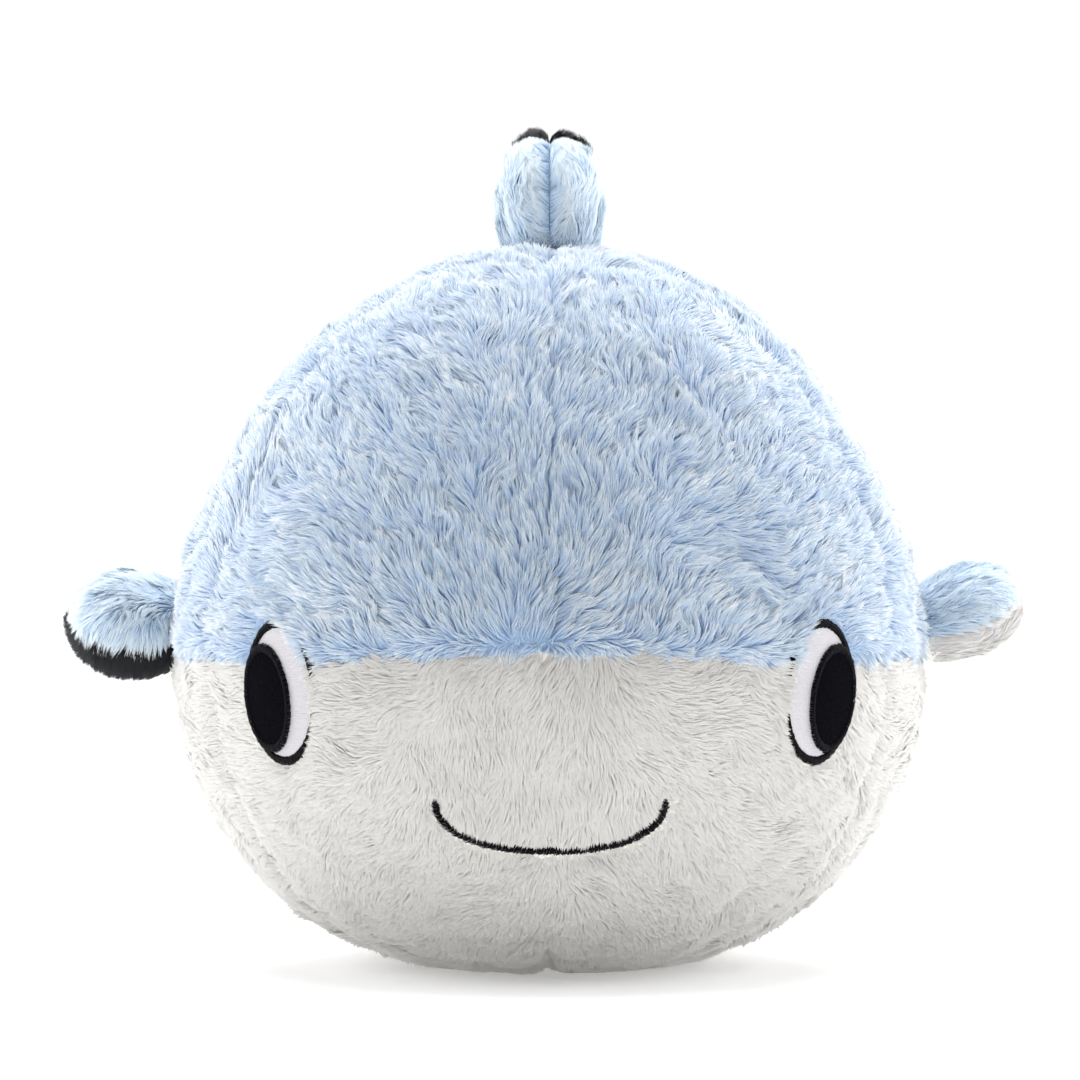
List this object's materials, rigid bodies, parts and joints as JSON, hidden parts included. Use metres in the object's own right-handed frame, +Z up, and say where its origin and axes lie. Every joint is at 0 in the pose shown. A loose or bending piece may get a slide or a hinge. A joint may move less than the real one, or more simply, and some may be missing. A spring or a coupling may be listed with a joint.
{
  "type": "plush shark",
  "caption": "Round stuffed plush shark with blue back, white belly, appliqué eyes, stitched smile, two side fins, dorsal fin and tail that bend at their seams.",
  "frame": {"origin": "on the floor, under the middle of the whole toy's box", "axes": "+Z up, the face looks along -Y, +X to the shark's own left and across the fins"},
  "size_m": [0.478, 0.4463, 0.4123],
  "materials": {
    "blue_plush": "long soft polyester pile, pale tips",
    "white_plush": "long soft polyester pile",
    "black_plush": "long soft polyester pile",
    "eye_satin": "satin with fine ribs",
    "pupil_cloth": "matt felt",
    "black_thread": "satin stitch in polyester thread",
    "white_thread": "polyester thread",
    "fibrefill": "loose white fibre",
    "ribbon": "woven satin ribbon, blank"
  },
  "bodies": {
    "body": {"body_stuffing": "fibrefill", "forehead_left": "blue_plush", "forehead_right": "blue_plush", "back_left": "blue_plush", "back_right": "blue_plush", "muzzle_panel": "white_plush", "belly_left": "white_plush", "belly_right": "white_plush", "mouth_embroidery": "black_thread", "left_eye_white": "eye_satin", "left_eye_rim": "black_thread", "left_pupil": "pupil_cloth", "left_pupil_rim": "black_thread", "right_eye_white": "eye_satin", "right_eye_rim": "black_thread", "right_pupil": "pupil_cloth", "right_pupil_rim": "black_thread", "closing_stitch": "white_thread"},
    "left_fin": {"left_fin_top": "blue_plush", "left_fin_underside": "white_plush", "left_fin_stuffing": "fibrefill"},
    "right_fin": {"right_fin_top": "blue_plush", "right_fin_underside": "black_plush", "right_fin_stuffing": "fibrefill"},
    "dorsal_fin": {"dorsal_fin_left": "blue_plush", "dorsal_fin_right": "blue_plush", "dorsal_tip_left": "black_plush", "dorsal_tip_right": "black_plush", "dorsal_fin_stuffing": "fibrefill"},
    "tail_fin": {"tail_fin_left": "blue_plush", "tail_fin_right": "blue_plush", "tail_fin_stuffing": "fibrefill"},
    "label": {"care_label": "ribbon"}
  },
  "joints": [
    {"name": "left_fin_flap", "type": "hinge", "parent": "body", "child": "left_fin", "pos_m": [0.207, -0.03616, 0.174], "axis": [0, -0.9816, -0.1908], "range_deg": [-40, 40], "stiffness_Nm_per_rad": 0.05},
    {"name": "right_fin_flap", "type": "hinge", "parent": "body", "child": "right_fin", "pos_m": [-0.207, -0.03616, 0.169], "axis": [0, 0.9659, 0.2588], "range_deg": [-35, 50], "stiffness_Nm_per_rad": 0.05},
    {"name": "dorsal_fin_lean", "type": "hinge", "parent": "body", "child": "dorsal_fin", "pos_m": [0, -0.02966, 0.3774], "axis": [0, 0.9962, -0.0872], "range_deg": [-35, 35], "stiffness_Nm_per_rad": 0.05},
    {"name": "tail_wag", "type": "hinge", "parent": "body", "child": "tail_fin", "pos_m": [0, 0.15834, 0.165], "axis": [0, 0, 1], "range_deg": [-45, 45], "stiffness_Nm_per_rad": 0.05},
    {"name": "label_flap", "type": "hinge", "parent": "body", "child": "label", "pos_m": [0.09345, 0.11892, 0.15], "axis": [0.8548, -0.519, 0], "range_deg": [0, 80]}
  ]
}
